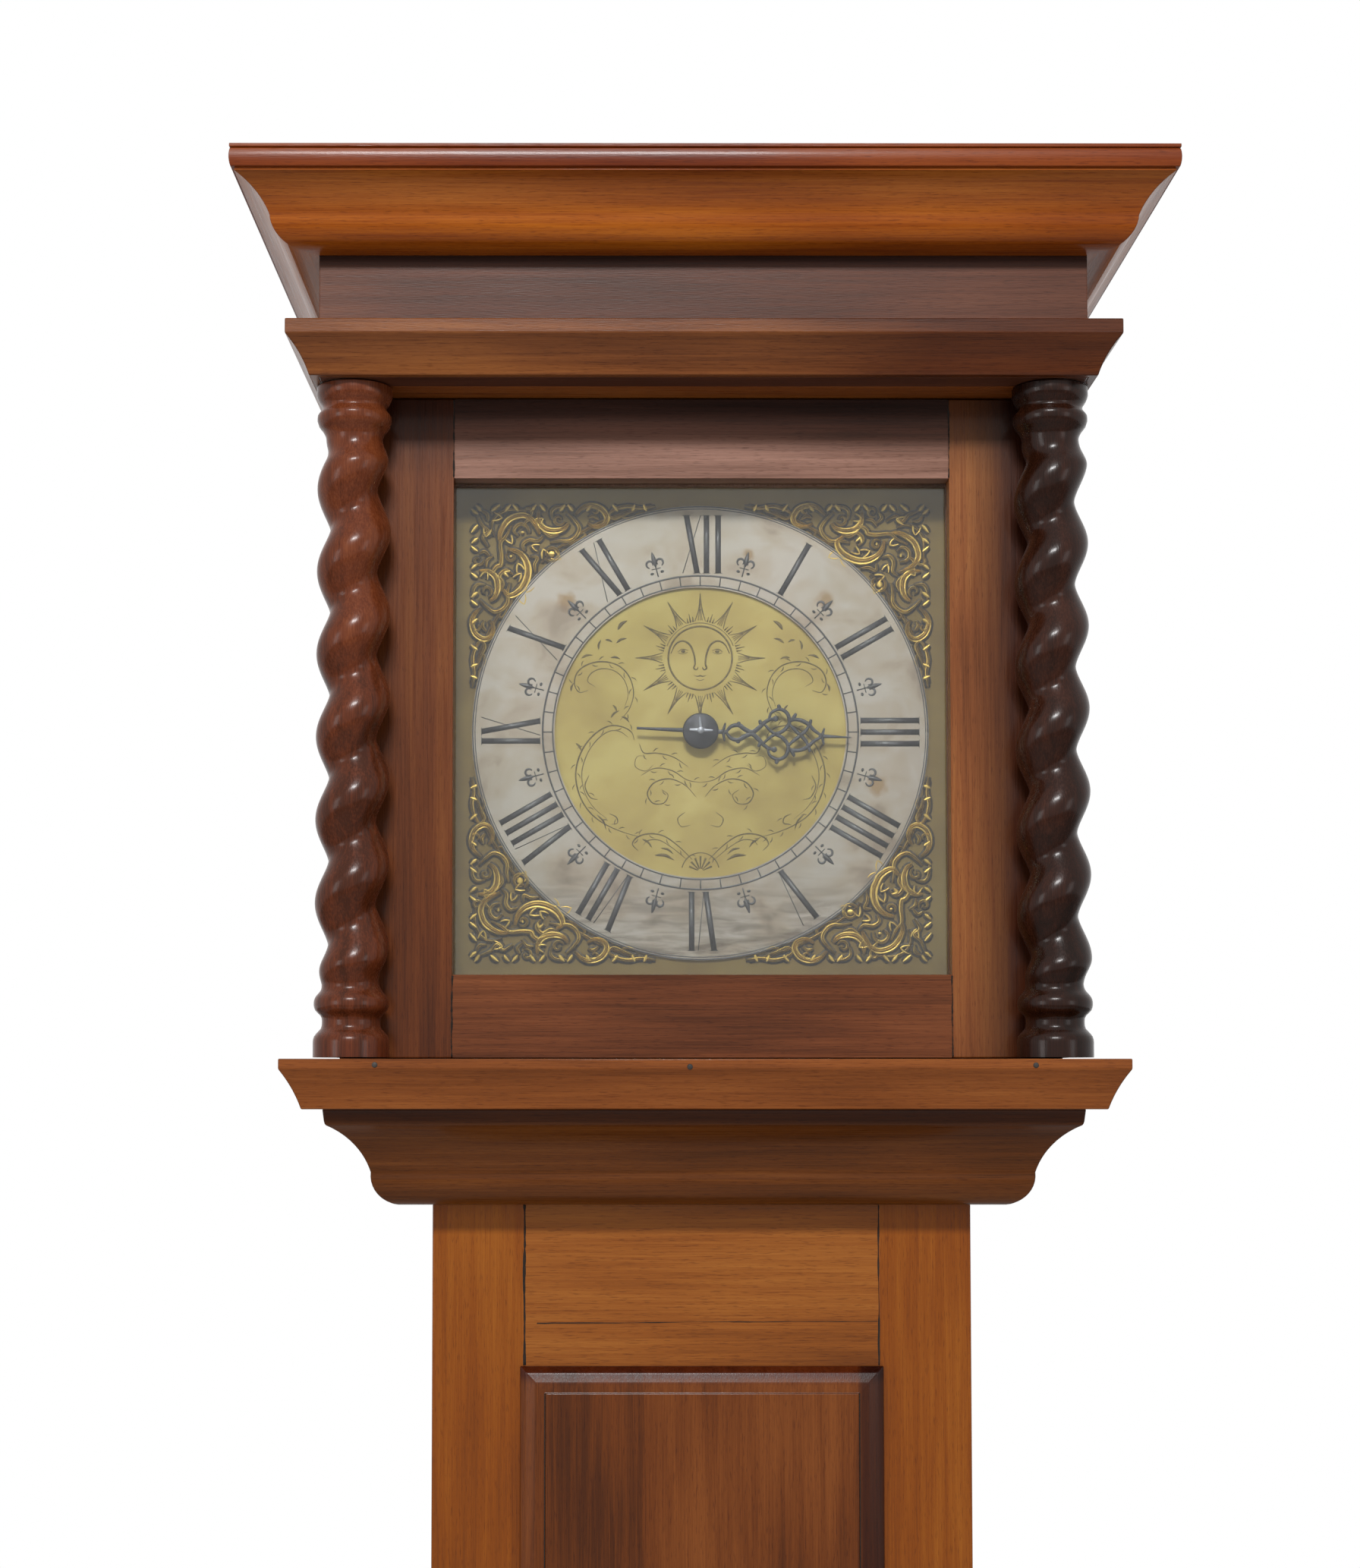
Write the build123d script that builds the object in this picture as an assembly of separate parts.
"""A thirty-hour longcase clock with one hand, a square brass dial and barley-twist hood columns.

Millimetres. X runs to the viewer's right, Y to the back and Z up. The origin is on the floor, midway
between the sides and midway between the front of the cornice and the back of the case.
"""

from build123d import *
import math
import os

# Overall size and the levels of the case, from the floor up.
HEIGHT = 1980.0
DEPTH = 275.0
SKIRTING_TOP = 95.0
BASE_TOP = 475.0
WAIST_TOP = 515.0
TRUNK_DOOR_BOTTOM = 571.0
TRUNK_DOOR_TOP = 1337.7
THROAT_BOTTOM = 1426.0
LEDGE_BOTTOM = 1478.0
LEDGE_TOP = 1504.4
SOFFIT = 1868.0
FRIEZE_BOTTOM = 1895.5
CORNICE_BOTTOM = 1934.0

# Half widths and front planes of the stacked boxes that the case is made of.
BACK_Y = DEPTH / 2
FRIEZE_HALF, FRIEZE_Y = 205.5, -95.0
CORNICE_REACH = BACK_Y + FRIEZE_Y
HOOD_HALF, LEDGE_Y = 199.0, -88.5
DOOR_Y, DOOR_THICK = -54.3, 20.0
TRUNK_HALF, TRUNK_Y = 147.2, -36.5
BASE_HALF, BASE_Y = 176.0, -65.5
BACKBOARD_THICK = 12.0
SIDE_THICK = 16.0
HOOD_SIDE_THICK = 12.0
FRONT_THICK = 18.0
MASK_THICK = 5.0
RUNNING_GAP = 1.0
PIN_CLEARANCE = 0.05

# What the doors turn on and lock with.
PIVOT_X, PIVOT_Y, PIVOT_PIN = 194.0, -48.0, 2.0
HINGE_X, HINGE_Y, KNUCKLE_RADIUS = 102.7, TRUNK_Y - 4.5, 3.3
HINGE_HEIGHTS = (700.0, 1175.0)
LOCK_Z, KEYHOLE_X = 960.0, -71.0

# The dial, which sets the size of everything above.
DIAL_SIZE = 279.4
DIAL_Z = 1686.7
DIAL_Y = -24.5
DIAL_THICK = 2.4
SIGHT = 271.8
SIGHT_BOTTOM, SIGHT_TOP = 1550.5, 1823.0
RING_OUTER, RING_INNER, RING_THICK = 127.2, 81.2, 1.8
HAND_REACH, HAND_TAIL, HAND_BOSS = 83.7, 35.8, 9.9
HAND_ANGLE = 92.5
HAND_Y, HOUR_PIPE = -31.5, 4.5

# The twisted columns, each a single right-handed bine between turned ends.
COLUMN_X, COLUMN_Y = 188.3, -74.2
COLUMN_CAP_RADIUS = 20.4
TWIST_PITCH = 44.8
TWIST_CREST, TWIST_VALLEY = 19.8, 12.9
TWIST_BOTTOM, TWIST_TOP = 1564.0, 1836.0
TWIST_SIDES, TWIST_STEPS, TURNED_SIDES = 12, 6, 12
LEFT_BINE_Z, RIGHT_BINE_Z = 1727.0, 1716.6

# The movement: a four-post frame with the going train in front of the striking train.
FRAME_HALF = 60.0
FRAME_FRONT, FRAME_BACK = -8.0, 92.0
FRAME_BOTTOM, FRAME_TOP = 1604.0, 1772.0
FRAME_PLATE = 3.0
POST = 8.0
BAR_THICK, BAR_HALF = 4.0, 7.0
MIDDLE_BAR_Y = 40.0
SEAT_TOP, SEAT_THICK = FRAME_BOTTOM - FRAME_PLATE, 18.0
ARBOR_RADIUS, JOURNAL, PIVOT_RADIUS, HOUR_STUD = 2.0, 2.0, 1.2, 2.5
ROPE_RADIUS = 2.5
SHEAVE_RADIUS, PULLEY_HALF = 22.0, 5.75
GOING_ROPE_Y, STRIKE_ROPE_Y = 24.25, 70.25
PENDULUM_LENGTH, CRUTCH = 994.0, 44.0
PENDULUM_Y = 106.0
BOB_RADIUS, BOB_HALF_THICK = 48.0, 13.0
WEIGHT_PULLEY_Z = 1300.0
COUNTER_BIGHT_Z = 420.0
WEIGHT_RADIUS, WEIGHT_HEIGHT = 28.0, 150.0

# Tooth counts and modules of the two trains, and the arbor heights that they fix.
GREAT, SECOND, ESCAPE, HOUR = 48, 45, 30, 48
PINION, REPORT = 6, 4
GREAT_MODULE, SECOND_MODULE, HOUR_MODULE = 1.55, 1.25, 1.5
STRIKE_GREAT, HOOP, WARNING, COUNT = 48, 48, 42, 39
STRIKE_MODULE, HOOP_MODULE, WARNING_MODULE, COUNT_MODULE = 1.5, 1.05, 0.9, 1.2
ESCAPE_RADIUS = 24.0
RATCHET, RATCHET_RADIUS = 12, 13.0
HAMMER_PINS, PIN_CIRCLE = 8, 28.0
HAMMER_X, HAMMER_Y = 44.0, 56.0
BELL_X, BELL_Y, BELL_RADIUS, BELL_MOUTH = -6.0, 42.0, 40.0, 1792.0
STAND = 3.0


def centres(wheel, pinion, module):
    """The distance between two meshing arbors."""
    return (wheel + pinion) * module / 2


GREAT_Z = DIAL_Z - centres(HOUR, REPORT, HOUR_MODULE)
SECOND_Z = GREAT_Z + centres(GREAT, PINION, GREAT_MODULE)
ESCAPE_Z = SECOND_Z + centres(SECOND, PINION, SECOND_MODULE)
ANCHOR_Z = ESCAPE_Z + ESCAPE_RADIUS * math.sqrt(2)
STRIKE_Z = GREAT_Z - 3.7
HOOP_Z = STRIKE_Z + centres(STRIKE_GREAT, PINION, STRIKE_MODULE)
WARNING_Z = HOOP_Z + centres(HOOP, PINION, HOOP_MODULE)
FLY_Z = WARNING_Z + centres(WARNING, PINION, WARNING_MODULE)
COUNT_Z = STRIKE_Z + centres(COUNT, REPORT, COUNT_MODULE)

nodes = {}


def keep(name, *shapes):
    """File the solids of one sub-part under its name."""
    nodes[name] = [solid for shape in shapes for solid in shape.solids()]


def board(x, y, z):
    """A board between two planes each way."""
    size = [high - low for low, high in (x, y, z)]
    middle = [(high + low) / 2 for low, high in (x, y, z)]
    return Pos(*middle) * Box(*size)


def mirrored(shape):
    """The same shape on the other side of the clock."""
    return mirror(shape, about=Plane.YZ)


def rod_y(x, z, y, radius):
    """A round bar along Y."""
    return Pos(x, (y[0] + y[1]) / 2, z) * Rot(90, 0, 0) * Cylinder(radius, y[1] - y[0])


def around(radius):
    """An eight-sided hole or bar whose flats touch the circle, to save facets."""
    return RegularPolygon(radius, 8, major_radius=False)


def within(radius):
    """An eight-sided pin whose corners touch the circle, so that it turns in a hole drawn around it."""
    return RegularPolygon(radius, 8)


def pin_z(x, y, z, radius):
    """An eight-sided pin along Z."""
    return Pos(x, y, z[0]) * extrude(within(radius), z[1] - z[0])


def turned(profile, sides):
    """A turned piece about Z: many-sided rings at the (radius, height) points of its outline."""
    return loft([Pos(0, 0, z) * RegularPolygon(radius, sides) for radius, z in profile], ruled=True)


def bar_y(x, z, y, radius):
    """An eight-sided bar along Y."""
    return upright(around(radius), x, z, y[0], y[1] - y[0])


def bar_z(x, y, z, radius):
    """An eight-sided bar along Z."""
    return Pos(x, y, z[0]) * extrude(around(radius), z[1] - z[0])


def outline(start, *steps):
    """A closed flat face; a step is a point to run straight to, or a pair of points for an arc."""
    edges, here = [], start
    for step in steps:
        if isinstance(step[0], tuple):
            edges.append(ThreePointArc(here, step[0], step[1]))
            here = step[1]
        else:
            edges.append(Line(here, step))
            here = step
    edges.append(Line(here, start))
    face = Face(Wire(edges))
    return face if face.normal_at().Z > 0 else -face


def upright(shape, x, z, y_front, depth):
    """Stand a flat shape up facing the viewer, with its face at y_front and its back depth behind."""
    plane = Plane(origin=(x, y_front + depth, z), x_dir=(1, 0, 0), z_dir=(0, -1, 0))
    return extrude(plane * shape, depth)


def plan(points, z_low, z_high):
    """A prism on a floor plan."""
    return extrude(Pos(0, 0, z_low) * Polygon(*points, align=None), z_high - z_low)


def moulding(section, half, front):
    """Run a moulding round the front and both sides, mitred at the corners.

    The section's X is how far it stands out from the carcass and its Y is the height."""
    box = section.bounding_box()
    reach = box.max.X + 4
    low, high = box.min.Y - 1, box.max.Y + 1
    across = Plane(origin=(half + reach, front, 0), x_dir=(0, -1, 0), z_dir=(-1, 0, 0))
    along = Plane(origin=(half, BACK_Y, 0), x_dir=(1, 0, 0), z_dir=(0, -1, 0))
    corner = (half + reach, front - reach)
    trapezium = [(-half, front), (-corner[0], corner[1]), corner, (half, front)]
    strip = [(half, front), corner, (corner[0], BACK_Y), (half, BACK_Y)]
    face = extrude(across * section, 2 * (half + reach)) & plan(trapezium, low, high)
    side = extrude(along * section, BACK_Y - front + reach) & plan(strip, low, high)
    return [face, side, mirrored(side)]


def tooth_points(teeth, first, corners):
    """The outline of a toothed edge, from one tooth's (radius, share of the pitch angle) corners."""
    step = 2 * math.pi / teeth
    points = []
    for number in range(teeth):
        middle = math.radians(first) + number * step
        for radius, share in corners:
            angle = middle + share * step
            points.append((radius * math.cos(angle), radius * math.sin(angle)))
    return points


def wheel_face(teeth, module, first, rise=1.0, arms=4):
    """A train wheel seen from the front: pointed teeth, a rim, and crossings between four arms."""
    pitch = teeth * module / 2
    root = pitch - 2.2 * module
    corners = [(root, -0.5), (pitch + rise * module, 0.0)]
    face = Polygon(*tooth_points(teeth, first, corners), align=None)
    if arms:
        rim, hub = root - 2.6, 7.0
        for number in range(arms):
            window = [(hub, 28.0), (rim, 8.0), (rim, 36.0), (rim, 54.0), (rim, 82.0), (hub, 62.0)]
            points = []
            for radius, degrees in window:
                angle = math.radians(degrees + number * 360 / arms)
                points.append((radius * math.cos(angle), radius * math.sin(angle)))
            face -= Polygon(*points, align=None)
    return face


def pinion_face(leaves, module, first, core):
    """A pinion seen from the front, with parallel-sided leaves."""
    few = leaves < PINION
    tip = leaves * module / 2 + (0.8 if few else 0.7) * module
    root_share, tip_share = (0.2, 0.07) if few else (0.24, 0.11)
    corners = [(core, -root_share), (tip, -tip_share), (tip, tip_share), (core, root_share)]
    return Polygon(*tooth_points(leaves, first, corners), align=None)


def gap_up(leaves):
    """The angle of a leaf that leaves the gap between two leaves pointing straight up."""
    return 90 + 180 / leaves


def gap_down(leaves):
    """The angle of a leaf that leaves the gap between two leaves pointing straight down."""
    return 270 + 180 / leaves


# The case: backboard, trunk, base and the mouldings that step from one to the next.

def cyma_top(section_bottom):
    """The ogee shared by the cornice and the throat: rounded below, hollow above, under a flat lip."""
    z = section_bottom
    return outline((0, z), (17, z), ((26.8, z + 5.2), (31, z + 18)), ((37.5, z + 31), (53, z + 43.6)),
                   (53, z + 45.5), (56, z + 45.5), (56, z + 52), (0, z + 52))


def backboard():
    inner = BACK_Y - BACKBOARD_THICK
    screw_z, screw_radius = 1880.0, 3.0
    plank = board((-TRUNK_HALF, TRUNK_HALF), (inner, BACK_Y), (0, 1930))
    plank -= rod_y(0, screw_z, (inner - 1, BACK_Y + 1), screw_radius)
    base_ear = board((TRUNK_HALF, BASE_HALF), (inner, BACK_Y), (0, BASE_TOP))
    hood_ear = board((TRUNK_HALF, HOOD_HALF - HOOD_SIDE_THICK - 1), (inner, BACK_Y), (1505, 1930))
    keep("backboard", plank, base_ear, mirrored(base_ear), hood_ear, mirrored(hood_ear))


def trunk():
    """Two side boards that end as the cheeks under the seatboard, and a framed front.

    Strips on the cheeks hold the hood down while it slides."""
    inner = BACK_Y - BACKBOARD_THICK
    stile_inner = TRUNK_HALF - 50.45
    bottom = BASE_TOP - 80
    stile_back = TRUNK_Y + FRONT_THICK
    side = board((TRUNK_HALF - SIDE_THICK, TRUNK_HALF), (stile_back, inner),
                 (bottom, SEAT_TOP - SEAT_THICK))
    stile = board((stile_inner, TRUNK_HALF), (TRUNK_Y, stile_back), (bottom, LEDGE_BOTTOM))
    guide = board((TRUNK_HALF, 165), (-14, 120), (LEDGE_BOTTOM + 14, LEDGE_BOTTOM + 26))
    keep("trunk_sides", side, mirrored(side), guide, mirrored(guide))
    keep("trunk_stiles", stile, mirrored(stile))
    across = (-stile_inner, stile_inner)
    top_rail = board(across, (TRUNK_Y, stile_back), (TRUNK_DOOR_TOP - 7, LEDGE_BOTTOM))
    keep("trunk_rails", top_rail, board(across, (TRUNK_Y, stile_back), (bottom, TRUNK_DOOR_BOTTOM + 6)))
    keep("throat_moulding", *moulding(cyma_top(THROAT_BOTTOM), TRUNK_HALF, TRUNK_Y))
    waist = outline((0, BASE_TOP), (34.5, BASE_TOP), (34.5, BASE_TOP + 3),
                    ((31.5, BASE_TOP + 11.5), (22, BASE_TOP + 14)),
                    ((10.5, BASE_TOP + 20), (5, BASE_TOP + 35)), (5, WAIST_TOP), (0, WAIST_TOP))
    keep("waist_moulding", *moulding(waist, TRUNK_HALF, TRUNK_Y))


def base():
    inner = BACK_Y - BACKBOARD_THICK
    front_back = BASE_Y + FRONT_THICK
    side = board((BASE_HALF - SIDE_THICK, BASE_HALF), (front_back, inner), (0, BASE_TOP))
    floor_half = BASE_HALF - SIDE_THICK
    floor = board((-floor_half, floor_half), (front_back, inner), (40, 54))
    front = board((-BASE_HALF, BASE_HALF), (BASE_Y, front_back), (0, BASE_TOP))
    keep("base_panels", front, side, mirrored(side), floor)
    block = board((TRUNK_HALF, floor_half), (0, 100), (BASE_TOP - 50, BASE_TOP))
    front_block = board((40, 120), (front_back, TRUNK_Y), (BASE_TOP - 40, BASE_TOP))
    keep("glue_blocks", block, mirrored(block), front_block, mirrored(front_block))
    top = SKIRTING_TOP
    skirting = outline((0, 0), (12, 0), (12, top - 14), ((10.8, top - 6), (4, top - 3)), (4, top), (0, top))
    keep("skirting", *moulding(skirting, BASE_HALF, BASE_Y))


def seatboard():
    low, high = SEAT_TOP - SEAT_THICK, SEAT_TOP
    seat = board((-TRUNK_HALF, TRUNK_HALF), (-14, 98), (low, high))
    slot = board((SHEAVE_RADIUS - 6, SHEAVE_RADIUS + 6), (GOING_ROPE_Y - 8, STRIKE_ROPE_Y + 8),
                 (low - 1, high + 1))
    bolt_x, bolt_y = 50.0, 42.0
    bolt = bar_z(bolt_x, bolt_y, (low, FRAME_BOTTOM), 3.0)
    seat -= slot
    seat -= mirrored(slot)
    seat -= bolt
    seat -= mirrored(bolt)
    bolt += board((bolt_x - 6, bolt_x + 6), (bolt_y - 6, bolt_y + 6), (low - 5, low))
    keep("seatboard", seat)
    keep("seatboard_bolts", bolt, mirrored(bolt))
    return bolt


# The hood, which slides forward off the case, and its glazed door.

def hood():
    back = BACK_Y
    side_front = DOOR_Y + DOOR_THICK + RUNNING_GAP
    inner = HOOD_HALF - HOOD_SIDE_THICK
    top = HEIGHT - 18
    side = board((inner, HOOD_HALF), (side_front, back), (LEDGE_BOTTOM, top))
    frieze_back = FRIEZE_Y + FRONT_THICK
    frieze_side = board((HOOD_HALF, FRIEZE_HALF), (frieze_back, back), (SOFFIT, HEIGHT - 4))
    keep("frieze", board((-FRIEZE_HALF, FRIEZE_HALF), (FRIEZE_Y, frieze_back), (SOFFIT, HEIGHT - 4)),
         frieze_side, mirrored(frieze_side))
    full = (-HOOD_HALF, HOOD_HALF)
    pivot_top = bar_z(PIVOT_X, PIVOT_Y, (SOFFIT - 1, SOFFIT + 9), PIVOT_PIN + PIN_CLEARANCE)
    pivot_bottom = bar_z(PIVOT_X, PIVOT_Y, (LEDGE_TOP - 9, LEDGE_TOP + 1), PIVOT_PIN + PIN_CLEARANCE)
    soffit = board(full, (frieze_back, side_front), (SOFFIT, SOFFIT + 16)) - pivot_top
    sill = board(full, (LEDGE_Y, side_front), (LEDGE_BOTTOM, LEDGE_TOP)) - pivot_bottom
    keep("hood_boards", sill, soffit, board(full, (frieze_back, back), (top, top + 10)))
    mask_back = side_front + MASK_THICK
    mask_bottom, mask_top = LEDGE_TOP - 19, SOFFIT + 16
    opening = SIGHT / 2 + 0.5
    upright_part = board((opening, inner), (side_front, mask_back), (mask_bottom, mask_top))
    below = board((-opening, opening), (side_front, mask_back), (mask_bottom, SIGHT_BOTTOM - 0.5))
    above = board((-opening, opening), (side_front, mask_back), (SIGHT_TOP + 0.5, mask_top))
    keep("dial_mask", upright_part, mirrored(upright_part), below, above)
    runner = board((160, inner), (mask_back, back), (LEDGE_BOTTOM + 1, LEDGE_BOTTOM + 13))
    keep("hood_sides", side, mirrored(side), runner, mirrored(runner))


def hood_mouldings():
    low = CORNICE_BOTTOM
    cornice = outline((0, low), (9, low), ((19.4, low + 4.6), (23.6, low + 14.5)),
                      ((30.2, low + 25.7), (41.3, low + 33.8)), (CORNICE_REACH, low + 34.3),
                      (CORNICE_REACH, HEIGHT), (0, HEIGHT))
    keep("cornice", *moulding(cornice, FRIEZE_HALF, FRIEZE_Y))
    low = SOFFIT
    cavetto = outline((0, low), (4.7, low), ((9.4, low + 10.8), (16.2, low + 19.7)), (16.2, FRIEZE_BOTTOM),
                      (0, FRIEZE_BOTTOM))
    keep("frieze_moulding", *moulding(cavetto, FRIEZE_HALF, FRIEZE_Y))
    low = LEDGE_BOTTOM
    ledge = outline((0, low), (12.6, low), ((17.0, low + 10.8), (23.3, low + 21)), (23.3, LEDGE_TOP),
                    (0, LEDGE_TOP))
    keep("ledge_moulding", *moulding(ledge, HOOD_HALF, LEDGE_Y))


def hood_door():
    front, back = DOOR_Y, DOOR_Y + DOOR_THICK
    low, high = LEDGE_TOP + RUNNING_GAP, SOFFIT - RUNNING_GAP
    half = SIGHT / 2
    rebate = 8.0
    glass_front, glass_back = front + 12.3, front + 14.6
    bed = board((-half - rebate, half + rebate), (glass_front, back + 1),
                (SIGHT_BOTTOM - rebate, SIGHT_TOP + rebate))
    stile = board((half, HOOD_HALF), (front, back), (low, high))
    stile = chamfer(stile.edges().filter_by(Axis.Z).group_by(Axis.Y)[-1].sort_by(Axis.X)[-1], 3.0) - bed
    straps = []
    for edge, end, reach in ((low, low - 8, 1.5), (high, high + 8, -1.5)):
        strap = board((PIVOT_X - 38, PIVOT_X + 4), (PIVOT_Y - 5, PIVOT_Y + 5), sorted((edge, edge + reach)))
        stile -= strap
        straps.append(strap + pin_z(PIVOT_X, PIVOT_Y, sorted((end, edge + reach / 2)), PIVOT_PIN))
    left_stile = board((-HOOD_HALF, -half), (front, back), (low, high)) - bed
    rail_top = board((-half, half), (front, back), (SIGHT_TOP, high)) - bed
    rail_bottom = board((-half, half), (front, back), (low, SIGHT_BOTTOM)) - bed
    keep("door_stiles", left_stile, stile)
    keep("door_rails", rail_top, rail_bottom)
    keep("door_pivots", *straps)
    inset = 0.2
    keep("door_glass", board((-half - rebate + inset, half + rebate - inset), (glass_front, glass_back),
                             (SIGHT_BOTTOM - rebate + inset, SIGHT_TOP + rebate - inset)))
    outer = board((-half - rebate, half + rebate), (glass_back, glass_back + 4),
                  (SIGHT_BOTTOM - rebate, SIGHT_TOP + rebate))
    inner = board((-half - 1, half + 1), (glass_back - 1, glass_back + 5), (SIGHT_BOTTOM - 1, SIGHT_TOP + 1))
    keep("glazing_putty", outer - inner)


def twist_radius(phase):
    """The bine's radius at an angle from its crest: a round bead that meets itself in a sharp valley."""
    half = TWIST_PITCH / 2
    depth = TWIST_CREST - TWIST_VALLEY
    bead = (half ** 2 + depth ** 2) / (2 * depth)
    return TWIST_CREST - bead + math.sqrt(bead ** 2 - (TWIST_PITCH * phase / (2 * math.pi)) ** 2)


def twisted_shaft(crest_left_z):
    """Loft the bine's section up the shaft, turning once for each pitch.

    The crest faces left at crest_left_z, and the hand is that of a right-handed screw."""
    section = []
    for number in range(TWIST_SIDES):
        phase = -math.pi + 2 * math.pi * number / TWIST_SIDES
        section.append((twist_radius(phase) * math.cos(phase), twist_radius(phase) * math.sin(phase)))
    flat = Polygon(*section, align=None)
    rise = TWIST_TOP - TWIST_BOTTOM
    count = round(rise / TWIST_PITCH * TWIST_STEPS)
    turned = []
    for number in range(count + 1):
        z = TWIST_BOTTOM + rise * number / count
        turned.append(Pos(0, 0, z) * Rot(0, 0, 180 + 360 * (z - crest_left_z) / TWIST_PITCH) * flat)
    return loft(turned, ruled=True)


def columns():
    low, high = LEDGE_TOP + RUNNING_GAP, SOFFIT - RUNNING_GAP
    cap = [(15.0, TWIST_TOP - 1), (15.0, 1840), (19.7, 1848), (19.7, 1852.5), (17.4, 1855), (18.2, 1859),
           (COLUMN_CAP_RADIUS, 1863), (COLUMN_CAP_RADIUS, high)]
    foot = [(COLUMN_CAP_RADIUS, low), (COLUMN_CAP_RADIUS, 1516), (15.6, 1522), (15.6, 1527), (19.6, 1531),
            (19.6, 1537), (15.6, 1543), (15.6, TWIST_BOTTOM + 1)]
    back = board((-30, 30), (DOOR_Y - COLUMN_Y, 30), (low - 1, high + 1))
    for name, side, crest in (("column_left", -1, LEFT_BINE_Z), ("column_right", 1, RIGHT_BINE_Z)):
        column = turned(foot, TURNED_SIDES) + twisted_shaft(crest) + turned(cap, TURNED_SIDES) - back
        keep(name, Pos(side * COLUMN_X, COLUMN_Y, 0) * column)


# The trunk door.

def trunk_door():
    half, inner = 99.0, TRUNK_HALF - 50.45 - 1.0
    low, high = TRUNK_DOOR_BOTTOM, TRUNK_DOOR_TOP
    middle, height = (low + high) / 2, high - low
    steps = [(0, 0), (3.0, 0), (6.2, 3.2), (8.0, 8.5), (8.4, 12.5)]
    layers = []
    for forward, inset in steps:
        plane = Plane(origin=(0, TRUNK_Y - forward, middle), x_dir=(1, 0, 0), z_dir=(0, -1, 0))
        layers.append(plane * Rectangle(2 * (half - inset), height - 2 * inset))
    lip = loft(layers, ruled=True)
    field = board((-half + 14, half - 14), (TRUNK_Y - 9, TRUNK_Y - 8.4), (low + 14, high - 14))
    body = board((-inner, inner), (TRUNK_Y, TRUNK_Y + 10), (low + 7, high - 8))
    door = lip + field + body
    case_leaves, door_leaves = [], []
    for centre in HINGE_HEIGHTS:
        spans = ((centre - 25, centre - 8.2), (centre - 8, centre + 8), (centre + 8.2, centre + 25))
        knuckles = [bar_z(HINGE_X, HINGE_Y, span, KNUCKLE_RADIUS) for span in spans]
        pin = pin_z(HINGE_X, HINGE_Y, (centre - 9, centre + 9), 1.5)
        bore = bar_z(HINGE_X, HINGE_Y, (centre - 9, centre + 9), 1.5 + PIN_CLEARANCE)
        plate_y = (TRUNK_Y - 1.5, TRUNK_Y)
        leaf = board((HINGE_X, HINGE_X + 20), plate_y, (centre - 25, centre + 25))
        leaf -= board((HINGE_X - 5, HINGE_X + 4), plate_y, (centre - 8.2, centre + 8.2))
        case_leaves.append(knuckles[0] + knuckles[2] + leaf + pin)
        web = board((inner, HINGE_X), (TRUNK_Y - 1.5, TRUNK_Y - 0.1), (centre - 8, centre + 8))
        plate = board((inner - 1.5, inner), (TRUNK_Y - 1.5, TRUNK_Y + 9), (centre - 25, centre + 25))
        inside = web + plate
        door -= board((inner - 1.5, half + 1), (TRUNK_Y - 1.5, TRUNK_Y), (centre - 8, centre + 8))
        door -= plate
        door_leaves.append(knuckles[1] + inside - bore)
    keep("trunk_hinge_case_leaves", *case_leaves)
    keep("trunk_hinge_door_leaves", *door_leaves)
    return door


def trunk_lock(door):
    """An iron box lock behind the door's left edge, and its escutcheon in front."""
    lock = board((-93, -45), (TRUNK_Y + 10, TRUNK_Y + 22), (LOCK_Z - 30, LOCK_Z + 30))
    bolt_room = board((-94, -65), (TRUNK_Y + 18.4, TRUNK_Y + 21.6), (LOCK_Z - 8.2, LOCK_Z + 8.2))
    bolt = board((-93, -73), (TRUNK_Y + 18.6, TRUNK_Y + 21.4), (LOCK_Z - 8, LOCK_Z + 8))
    keep("trunk_lock", lock - bolt_room)
    keep("trunk_lock_bolt", bolt)
    keyhole = around(1.9) + Pos(0, -3) * Rectangle(1.6, 6)
    plate = Pos(0, -1.5) * scale(RegularPolygon(7, 16), (1, 11 / 7, 1)) - keyhole
    keep("trunk_escutcheon", upright(plate, KEYHOLE_X, LOCK_Z, TRUNK_Y - 9.8, 0.8))
    keep("trunk_door", door - upright(keyhole, KEYHOLE_X, LOCK_Z, TRUNK_Y - 10, 20))


# The dial and its single hand.

def dial():
    half = DIAL_SIZE / 2
    plate = board((-half, half), (DIAL_Y, DIAL_Y + DIAL_THICK), (DIAL_Z - half, DIAL_Z + half))
    plate -= bar_y(0, DIAL_Z, (DIAL_Y - 1, DIAL_Y + 5), 5.2)
    foot_front = DIAL_Y + DIAL_THICK
    feet = [bar_y(side * (FRAME_HALF - POST / 2), z, (foot_front, FRAME_FRONT), 4.0)
            for side in (-1, 1) for z in (FRAME_BOTTOM + 16, FRAME_TOP - 16)]
    keep("dial_plate", plate, *feet)
    ring = Circle(RING_OUTER) - Circle(RING_INNER)
    keep("chapter_ring", upright(ring, 0, DIAL_Z, DIAL_Y - RING_THICK, RING_THICK))


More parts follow.
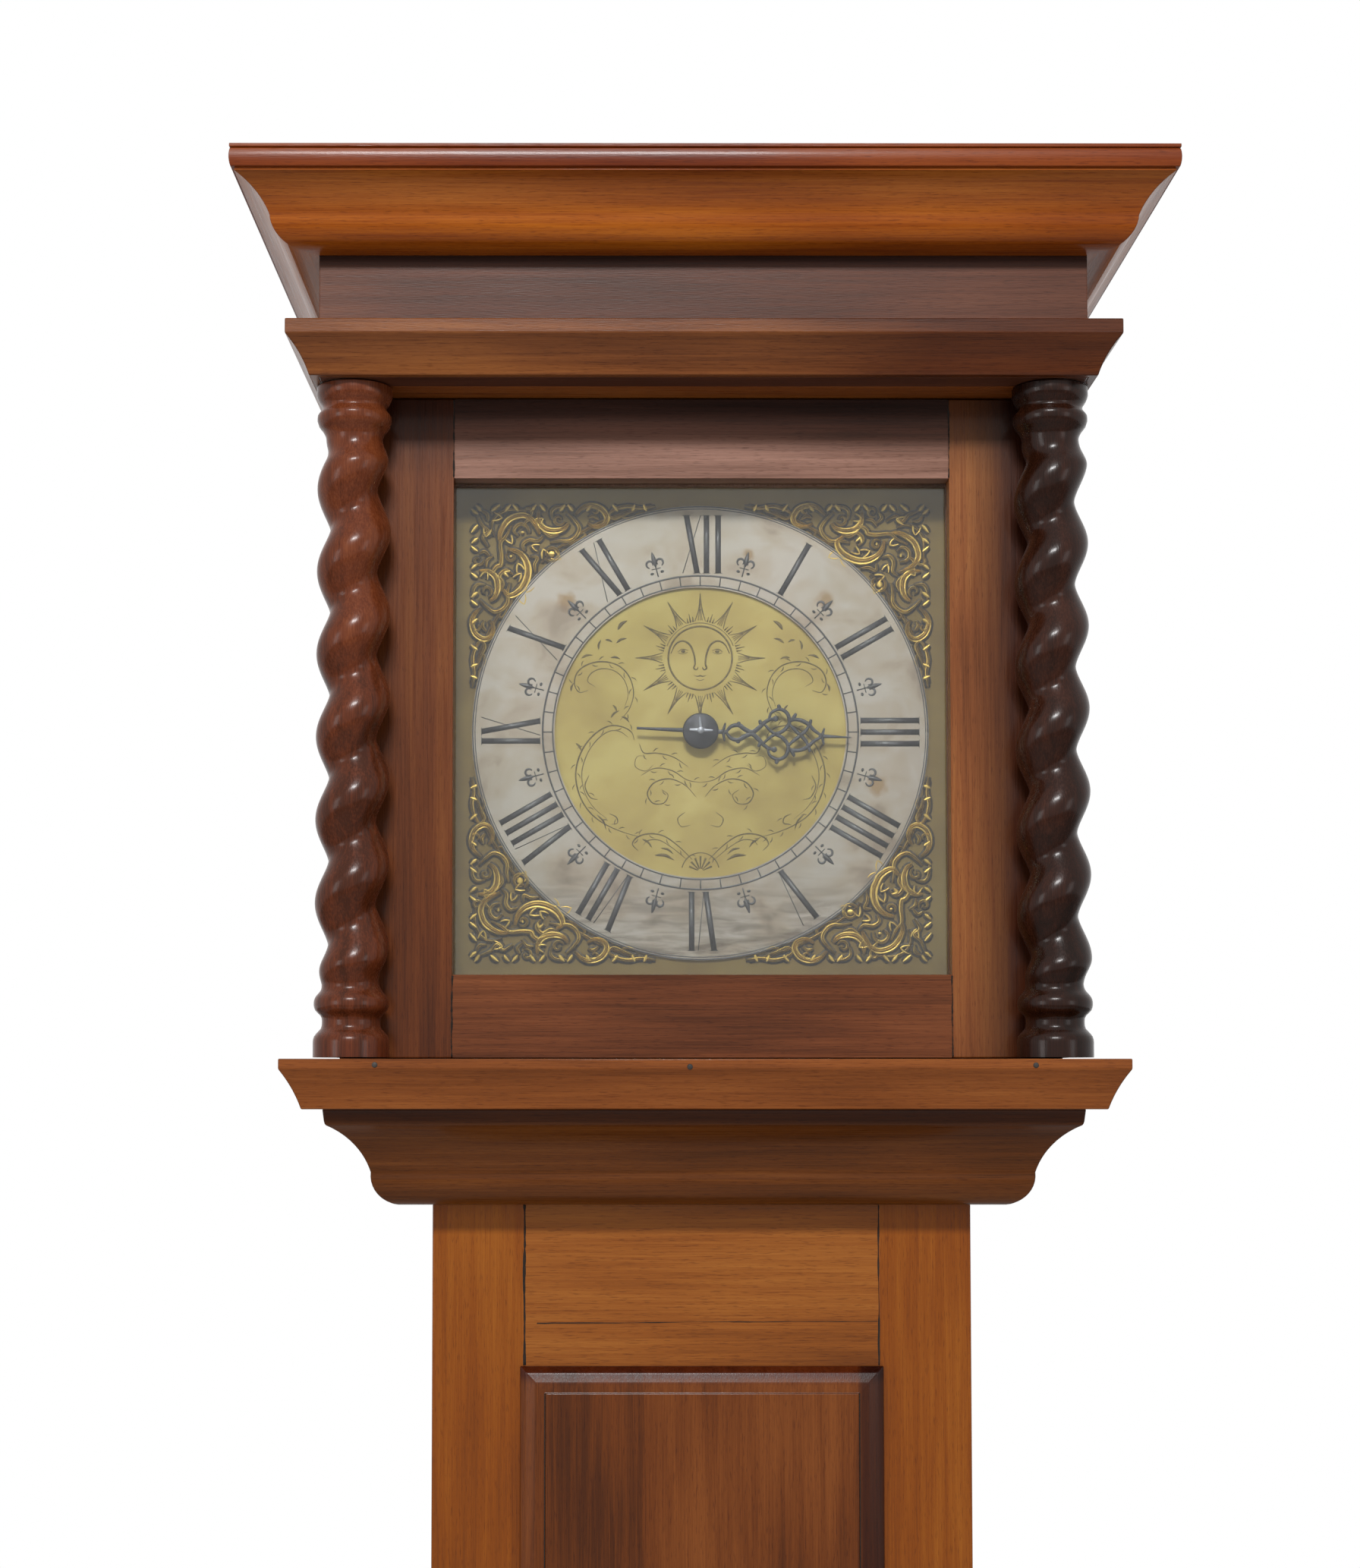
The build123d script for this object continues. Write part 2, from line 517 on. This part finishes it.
def spandrels():
    """A cast scroll in each corner: a scalloped outline along the edges, pierced, hollowed by the ring."""
    edge, tip = 127.9, 24.0
    lobes = 4
    width = (edge - tip) / lobes
    top = [(tip, edge)]
    for lobe in range(lobes):
        start = tip + width * lobe
        top += [(start + width * 0.25, edge + 1.0), (start + width * 0.75, edge + 1.0)]
        top += [(start + width, edge - 2.5)]
    top[-1] = (edge, edge)
    corner = outline(*top, *[(z, x) for x, z in reversed(top[:-1])]) - Circle(RING_OUTER + 1.6)
    for x, z, radius in ((113, 113, 5.5), (117, 92, 4.0), (92, 117, 4.0)):
        corner -= Pos(x, z) * RegularPolygon(radius, 8)
    corner = corner.faces().sort_by(SortBy.AREA)[-1]
    thick = 2.6
    cast = [upright(Rot(0, 0, 90 * turn) * corner, 0, DIAL_Z, DIAL_Y - thick, thick) for turn in range(4)]
    keep("spandrels", *cast)


def strand(points, width):
    """A bent strip of the pierced hand, drawn flat."""
    strip = Sketch()
    for start, end in zip(points, points[1:]):
        along = Vector(*end) - Vector(*start)
        middle = (Vector(*end) + Vector(*start)) / 2
        turn = math.degrees(math.atan2(along.Y, along.X))
        strip += Pos(middle.X, middle.Y) * Rot(0, 0, turn) * Rectangle(along.length + width * 0.7, width)
    return strip


def hour_hand():
    """A pierced steel hand: a tapering tail, a round boss, and strands that loop and cross to a point."""
    tail = Polygon((0, 2.6), (-HAND_TAIL, 0.9), (-HAND_TAIL, -0.9), (0, -2.6), align=None)
    tip = Polygon((66, 1.5), (66, -1.5), (HAND_REACH, -0.4), (HAND_REACH, 0.4), align=None)
    shape = RegularPolygon(HAND_BOSS, 24) + tail + tip
    shape += strand([(9, 0), (16, 0)], 2.6) + strand([(23.5, 0), (32.5, 0)], 2.6)
    shape += Pos(19.8, 0) * (RegularPolygon(5.2, 12) - RegularPolygon(3.3, 10))
    shape += strand([(13.2, -4.8), (13.2, 4.8)], 1.8) + strand([(68.5, -4.2), (68.5, 4.2)], 1.8)
    for side in (-1, 1):
        loop = Pos(43.3, side * 8.6) * (RegularPolygon(5.8, 12) - RegularPolygon(3.9, 10))
        strands = strand([(31, 0), (33.6, side * 5.2), (38.2, side * 7.2)], 1.9)
        strands += strand([(33.6, side * 4), (33.6, side * 8.2)], 1.5)
        strands += strand([(38.5, side * 5.8), (43.3, 0), (50.8, side * 1.2)], 1.9)
        strands += strand([(43.3, side * 13.5), (43.3, side * 16.6)], 1.5)
        strands += strand([(47.3, side * 5.2), (51.2, 0), (57.8, side * 6.6), (67, 0)], 1.9)
        strands += strand([(48.4, side * 9.5), (54.5, side * 7.8), (57.8, side * 6.6)], 1.7)
        strands += strand([(51.2, side * 7.5), (51.8, side * 11.6)], 1.4)
        strands += strand([(58.2, side * 5.5), (59.6, side * 9.4)], 1.4)
        shape += loop + strands
    turned = Rot(0, 0, 90 - HAND_ANGLE) * shape - around(HOUR_PIPE)
    thick, collet = 1.5, 1.2
    hand = upright(turned, 0, DIAL_Z, HAND_Y, thick)
    washer = RegularPolygon(7.6, 16) - around(HOUR_PIPE)
    keep("hour_hand", hand, upright(washer, 0, DIAL_Z, HAND_Y - collet, collet))


# The movement.

def movement_frame(bolts):
    """Two plates on four posts, with three bars between the plates that carry the arbors."""
    half, front, back = FRAME_HALF, FRAME_FRONT, FRAME_BACK
    bottom = board((-half, half), (front, back), (FRAME_BOTTOM - FRAME_PLATE, FRAME_BOTTOM))
    slot = board((SHEAVE_RADIUS - 5, SHEAVE_RADIUS + 5), (GOING_ROPE_Y - 6, STRIKE_ROPE_Y + 6),
                 (FRAME_BOTTOM - 5, FRAME_BOTTOM + 1))
    hammer_hole = bar_z(HAMMER_X, HAMMER_Y, (FRAME_BOTTOM - 4, FRAME_TOP + 4), ARBOR_RADIUS + PIN_CLEARANCE)
    bottom = bottom - slot - mirrored(slot) - bolts - mirrored(bolts) - hammer_hole
    top = board((-half, half), (front, back), (FRAME_TOP, FRAME_TOP + FRAME_PLATE)) - hammer_hole
    posts = [board(sorted((side * half, side * (half - POST))), (y, y + POST), (FRAME_BOTTOM, FRAME_TOP))
             for side in (-1, 1) for y in (front, back - POST)]
    keep("movement_frame", bottom, top, *posts)
    small, large = PIVOT_RADIUS, JOURNAL
    holes = (
        (front, ((GREAT_Z, large), (SECOND_Z, small), (ESCAPE_Z, small), (ANCHOR_Z, small))),
        (MIDDLE_BAR_Y, ((GREAT_Z, small), (SECOND_Z, small), (ESCAPE_Z, small), (ANCHOR_Z, 3.0),
                        (STRIKE_Z, small), (HOOP_Z, small), (WARNING_Z, small), (FLY_Z, small))),
        (back - BAR_THICK, ((STRIKE_Z, large), (HOOP_Z, small), (WARNING_Z, small), (FLY_Z, small),
                            (ANCHOR_Z, 3.0))),
    )
    bars = []
    for y, bored in holes:
        bar = board((-BAR_HALF, BAR_HALF), (y, y + BAR_THICK), (FRAME_BOTTOM, FRAME_TOP))
        for z, radius in bored:
            bar -= bar_y(0, z, (y - 1, y + BAR_THICK + 1), radius + PIN_CLEARANCE)
        bars.append(bar)
    hour_stud = arbor(DIAL_Z, (-30, front), HOUR_STUD)
    count_stud = arbor(COUNT_Z, (back, 101), JOURNAL)
    keep("movement_bars", *bars, hour_stud, count_stud)


def arbor(z, y, radius):
    """A hand-filed arbor on the centre line between two planes."""
    return toothed(within(radius), z, y)


def spindle(z, space, radius=ARBOR_RADIUS):
    """An arbor between two bars, with a finer pivot at each end."""
    front, back = space
    return arbor(z, (front + 0.3, back - 0.3), radius) + arbor(z, (front - 3.4, back + 3.4), PIVOT_RADIUS)


def toothed(face, z, y):
    """A wheel or pinion on the centre line between two planes."""
    return upright(face, 0, z, y[0], y[1] - y[0])


def sheave(radius, bore, rim_half):
    """A grooved wheel about Z that carries the rope's centre line at a radius."""
    rim, groove, flat = radius + 2.8, radius - ROPE_RADIUS - 0.2, 1.6
    wheel = turned([(rim, -rim_half), (groove, -flat), (groove, flat), (rim, rim_half)], 20)
    return wheel - Pos(0, 0, -rim_half) * extrude(around(bore), 2 * rim_half)


def going_train():
    space = (FRAME_FRONT + BAR_THICK, MIDDLE_BAR_Y)
    great = spindle(GREAT_Z, space) + arbor(GREAT_Z, (-9, space[0] + 1), JOURNAL)
    great += toothed(pinion_face(REPORT, HOUR_MODULE, gap_up(REPORT), 1.3), GREAT_Z, (-17.5, -9))
    wheel = toothed(wheel_face(GREAT, GREAT_MODULE, 90), GREAT_Z, (14, 16.5)) - great
    keep("great_wheel", great, wheel)
    pulley = sheave(SHEAVE_RADIUS, ARBOR_RADIUS, PULLEY_HALF)
    keep("going_pulley", Pos(0, GOING_ROPE_Y, GREAT_Z) * Rot(90, 0, 0) * pulley - great)
    second = spindle(SECOND_Z, space)
    second += toothed(pinion_face(PINION, GREAT_MODULE, gap_down(PINION), 2.3), SECOND_Z, (10, 20))
    second += toothed(wheel_face(SECOND, SECOND_MODULE, 90), SECOND_Z, (3.5, 5.5))
    keep("second_wheel", second)
    escape = spindle(ESCAPE_Z, space)
    escape += toothed(pinion_face(PINION, SECOND_MODULE, gap_down(PINION), 1.9), ESCAPE_Z, (0.5, 9))
    corners = [(ESCAPE_RADIUS - 5, -0.45), (ESCAPE_RADIUS, 0.12), (ESCAPE_RADIUS - 4.6, 0.2)]
    escape += toothed(Polygon(*tooth_points(ESCAPE, 90, corners), align=None), ESCAPE_Z, (24, 26))
    keep("escape_wheel", escape)
    pipe = bar_y(0, DIAL_Z, (HAND_Y - 2, -9), HOUR_PIPE)
    pipe -= bar_y(0, DIAL_Z, (-34, -8), HOUR_STUD + PIN_CLEARANCE)
    face = wheel_face(HOUR, HOUR_MODULE, 270, rise=0.8) - around(HOUR_PIPE)
    keep("hour_wheel", pipe + toothed(face, DIAL_Z, (-16.5, -14.5)))


def escapement():
    """The anchor with its arbor and crutch, and the cock behind them that hangs the pendulum."""
    reach = ESCAPE_RADIUS + 1.0
    drop = ANCHOR_Z - ESCAPE_Z
    pallet = reach * math.sin(math.radians(45))
    arch = outline((-pallet - 3, pallet - drop), (-pallet + 1.5, pallet - drop + 2.5), (-6, -4), (6, -4),
                   (pallet - 1.5, pallet - drop + 2.5), (pallet + 3, pallet - drop), (8, 4), (-8, 4))
    anchor = upright(arch, 0, ANCHOR_Z, 22.5, 5)
    anchor += spindle(ANCHOR_Z, (FRAME_FRONT + BAR_THICK, 99))
    low = ANCHOR_Z - CRUTCH
    crutch = board((-2, 2), (94, 97), (low, ANCHOR_Z)) + board((-5.4, 5.4), (94, 97), (low, low + 4))
    prong = board((3.4, 5.4), (94, 110), (low, low + 4))
    keep("anchor_and_crutch", anchor + crutch + prong + mirrored(prong))
    arm = board((14, 20), (84, 99), (ANCHOR_Z - 7, FRAME_TOP))
    cross = board((-20, 20), (99, 103), (ANCHOR_Z - 7, ANCHOR_Z + 7))
    cross -= bar_y(0, ANCHOR_Z, (98, 104), PIVOT_RADIUS + PIN_CLEARANCE)
    tongue = board((-7, 7), (103, 109), (ANCHOR_Z - 4, ANCHOR_Z + 4.5))
    tongue -= board((-4.6, 4.6), (PENDULUM_Y - 0.6, PENDULUM_Y + 0.6), (ANCHOR_Z - 5, ANCHOR_Z + 6))
    block = board((-6, 6), (103.2, 108.8), (ANCHOR_Z + 4.5, ANCHOR_Z + 11))
    keep("back_cock", arm + mirrored(arm) + cross + tongue, block)


def pendulum():
    """A seconds pendulum: a steel spring and rod, a brass-faced lead bob and its rating nut."""
    spring = board((-4, 4), (PENDULUM_Y - 0.2, PENDULUM_Y + 0.2), (ANCHOR_Z - 20, ANCHOR_Z + 4))
    bob_z = ANCHOR_Z - PENDULUM_LENGTH
    rod = bar_z(0, PENDULUM_Y, (bob_z - BOB_RADIUS - 22, ANCHOR_Z - 20), 2.5)
    keep("pendulum_rod", rod, spring)
    half = [(BOB_RADIUS, 1.0), (BOB_RADIUS * 0.72, BOB_HALF_THICK * 0.66)]
    half.append((BOB_RADIUS * 0.25, BOB_HALF_THICK))
    lens = turned([(radius, -height) for radius, height in reversed(half)] + half, 24)
    bob = Pos(0, PENDULUM_Y, bob_z) * Rot(90, 0, 0) * lens
    nut = bar_z(0, PENDULUM_Y, (bob_z - BOB_RADIUS - 9, bob_z - BOB_RADIUS), 7.0)
    keep("pendulum_bob", bob - rod, nut - rod)


def striking_train():
    space = (MIDDLE_BAR_Y + BAR_THICK, FRAME_BACK - BAR_THICK)
    great = spindle(STRIKE_Z, space) + arbor(STRIKE_Z, (space[0] + 4, 93.5), JOURNAL)
    great += toothed(pinion_face(REPORT, COUNT_MODULE, gap_up(REPORT), 1.1), STRIKE_Z, (93.5, 98.5))
    wheel = toothed(wheel_face(STRIKE_GREAT, STRIKE_MODULE, 90), STRIKE_Z, (60, 62.5)) - great
    pins = []
    for number in range(HAMMER_PINS):
        angle = math.radians(22.5 + number * 360 / HAMMER_PINS)
        across, up = PIN_CIRCLE * math.cos(angle), PIN_CIRCLE * math.sin(angle)
        pins.append(Pos(across, 58, STRIKE_Z + up) * Box(3, 4, 3))
    keep("strike_great_wheel", great, wheel, *pins, click())
    bore = JOURNAL + PIN_CLEARANCE
    pulley = Pos(0, STRIKE_ROPE_Y, STRIKE_Z) * Rot(90, 0, 0) * sheave(SHEAVE_RADIUS, bore, PULLEY_HALF)
    corners = [(RATCHET_RADIUS - 2.4, -0.48), (RATCHET_RADIUS, -0.4), (RATCHET_RADIUS - 2.4, 0.5)]
    ratchet = Polygon(*tooth_points(RATCHET, 90, corners), align=None) - around(bore)
    keep("strike_pulley", pulley + toothed(ratchet, STRIKE_Z, (63, STRIKE_ROPE_Y - PULLEY_HALF)))
    hoop = spindle(HOOP_Z, space)
    hoop += toothed(pinion_face(PINION, STRIKE_MODULE, gap_down(PINION), 2.3), HOOP_Z, (57, 66))
    hoop += toothed(wheel_face(HOOP, HOOP_MODULE, 90), HOOP_Z, (78, 80))
    keep("hoop_wheel", hoop)
    warning = spindle(WARNING_Z, space, radius=1.5)
    warning += toothed(pinion_face(PINION, HOOP_MODULE, gap_down(PINION), 1.5), WARNING_Z, (75, 83))
    warning += toothed(wheel_face(WARNING, WARNING_MODULE, 90, arms=0), WARNING_Z, (66, 68))
    keep("warning_wheel", warning)
    fly = spindle(FLY_Z, space, radius=1.3)
    fly += toothed(pinion_face(PINION, WARNING_MODULE, gap_down(PINION), 1.3), FLY_Z, (63.5, 71))
    fly += board((-16, 16), (46, 62), (FLY_Z - 0.6, FLY_Z + 0.6))
    keep("fly", fly)
    keep("count_wheel", count_wheel())


def click():
    """The pawl on the strike great wheel, lifted just clear of the ratchet as when the rope is drawn up."""
    tip = RATCHET_RADIUS + 0.4
    shape = outline((-6, 24), (-9.5, 20), (-1, tip + 3.4), (0.5, tip), (3, tip + 1), (-2.5, 21))
    return toothed(shape, STRIKE_Z, (62.5, 64.2))


def count_wheel():
    """The locking plate: its notches are spaced for the hours one to twelve, 78 blows in all."""
    ring, notch = 34.0, 4.0
    plate = Circle(ring)
    blows = 0
    for hour in range(1, 13):
        blows += hour
        angle = 360 * blows / 78
        plate -= Rot(0, 0, angle) * Pos(ring, 0) * Rectangle(2 * notch, 1.9)
    plate -= around(JOURNAL + PIN_CLEARANCE)
    gear = wheel_face(COUNT, COUNT_MODULE, 270, rise=0.8, arms=0) - around(JOURNAL + PIN_CLEARANCE)
    return toothed(plate, COUNT_Z, (98.8, 100.4)) + toothed(gear, COUNT_Z, (94.5, 98.8))


def bell_and_hammer():
    """The bell on its stand above the frame, and the hammer on a tall arbor beside it."""
    flat, wall, sides = 7.0, 1.8, 24
    outer = turned([(BELL_RADIUS + 1, 0), (38.6, 12.0), (27.2, 30.4), (flat, BELL_RADIUS)], sides)
    inner = turned([(BELL_RADIUS - 1, 0), (36.6, 12.0), (25.6, 28.6), (flat, BELL_RADIUS - wall)], sides)
    post_hole = extrude(within(STAND), BELL_RADIUS + 1)
    keep("bell", Pos(BELL_X, BELL_Y, BELL_MOUTH) * (outer - inner - post_hole))
    crown = BELL_MOUTH + BELL_RADIUS
    stand = pin_z(BELL_X, BELL_Y, (FRAME_TOP + FRAME_PLATE, crown + 8), STAND)
    stand += Pos(BELL_X, BELL_Y, crown - 8) * extrude(RegularPolygon(5.5, 6), 8 - wall)
    nut = Pos(BELL_X, BELL_Y, crown) * extrude(RegularPolygon(6.5, 6) - within(STAND), 5)
    keep("bell_stand", stand, nut)
    upstand = pin_z(HAMMER_X, HAMMER_Y, (FRAME_BOTTOM - FRAME_PLATE + 0.2, BELL_MOUTH + 8), ARBOR_RADIUS)
    tail_z = STRIKE_Z + PIN_CIRCLE + 3.2
    upstand += board((9, HAMMER_X), (54, 58), (tail_z, tail_z + 3))
    head_x, head_y = HAMMER_X - 3.7, HAMMER_Y - 18
    upstand += Pos(HAMMER_X, HAMMER_Y, BELL_MOUTH + 4.5) * Rot(0, 0, -11.6) * Pos(0, -8, 0) * Box(3, 16, 3)
    keep("hammer", upstand, bar_z(head_x, head_y, (BELL_MOUTH - 2, BELL_MOUTH + 11), 4.9) - upstand)


# The rope, which passes over both pulleys and down through two bights, and what hangs in them.

def rope():
    """One endless rope: half turns over the pulleys and under the bights, straight falls between."""
    span = (STRIKE_ROPE_Y - GOING_ROPE_Y) / 2
    middle = (STRIKE_ROPE_Y + GOING_ROPE_Y) / 2
    section = RegularPolygon(ROPE_RADIUS, 6)
    loop = Pos(SHEAVE_RADIUS, 0) * section
    bight = Pos(span, 0) * section
    shape = Part()
    for y, z in ((GOING_ROPE_Y, GREAT_Z), (STRIKE_ROPE_Y, STRIKE_Z)):
        over = revolve(Plane.XY * loop, Axis.Y, 180)
        if over.center().Z < 0:
            over = Rot(0, 180, 0) * over
        shape += Pos(0, y, z) * over
        shape += Pos(-SHEAVE_RADIUS, y, WEIGHT_PULLEY_Z) * extrude(section, z - WEIGHT_PULLEY_Z)
        shape += Pos(SHEAVE_RADIUS, y, COUNTER_BIGHT_Z) * extrude(section, z - COUNTER_BIGHT_Z)
    for x, z in ((-SHEAVE_RADIUS, WEIGHT_PULLEY_Z), (SHEAVE_RADIUS, COUNTER_BIGHT_Z)):
        under = revolve(Plane.XY * bight, Axis.Y, 180)
        if under.center().Z > 0:
            under = Rot(0, 180, 0) * under
        shape += Pos(x, middle, z) * Rot(0, 0, 90) * under
    keep("drive_rope", shape)


def weights():
    """The pulley, stirrup and lead weight in the left bight, and the ring that keeps the right one taut."""
    span = (STRIKE_ROPE_Y - GOING_ROPE_Y) / 2
    middle = (STRIKE_ROPE_Y + GOING_ROPE_Y) / 2
    x, z = -SHEAVE_RADIUS, WEIGHT_PULLEY_Z
    axle, strap_y, hook = 1.8, (middle - 6, middle + 6), 2.2
    pulley = sheave(span, axle + PIN_CLEARANCE, 4.4)
    keep("weight_pulley", Pos(x, middle, z) * Rot(0, 90, 0) * pulley)
    stirrup = Pos(x - 7.5, middle, z) * Rot(0, 90, 0) * extrude(within(axle), 15)
    stirrup += board((x - 6.3, x + 6.3), strap_y, (z - 38, z - 34))
    for side in (-1, 1):
        stirrup += board(sorted((x + side * 4.8, x + side * 6.3)), strap_y, (z - 36, z + 8))
    top = z - 52
    stirrup += bar_z(x, middle, (top - 20, z - 36), hook)
    edge, low = WEIGHT_RADIUS - 3, top - WEIGHT_HEIGHT
    cast = turned([(edge, low), (WEIGHT_RADIUS, low + 3), (WEIGHT_RADIUS, top - 3), (edge, top)], 24)
    weight = Pos(x, middle, 0) * cast - bar_z(x, middle, (top - 20, top + 1), hook)
    keep("driving_weight", stirrup, weight)
    counter = RegularPolygon(13, 16) - RegularPolygon(6, 12)
    keep("counter_ring", upright(counter, SHEAVE_RADIUS, COUNTER_BIGHT_Z - span - 2.9, middle - 4, 8))


backboard()
trunk()
base()
bolts = seatboard()
hood()
hood_mouldings()
hood_door()
columns()
trunk_lock(trunk_door())
dial()
spandrels()
hour_hand()
movement_frame(bolts)
going_train()
escapement()
pendulum()
striking_train()
bell_and_hammer()
rope()
weights()

os.makedirs("parts", exist_ok=True)
for name, solids in nodes.items():
    export_step(Compound(children=solids), f"parts/{name}.step")
print(len(nodes), "sub-parts")
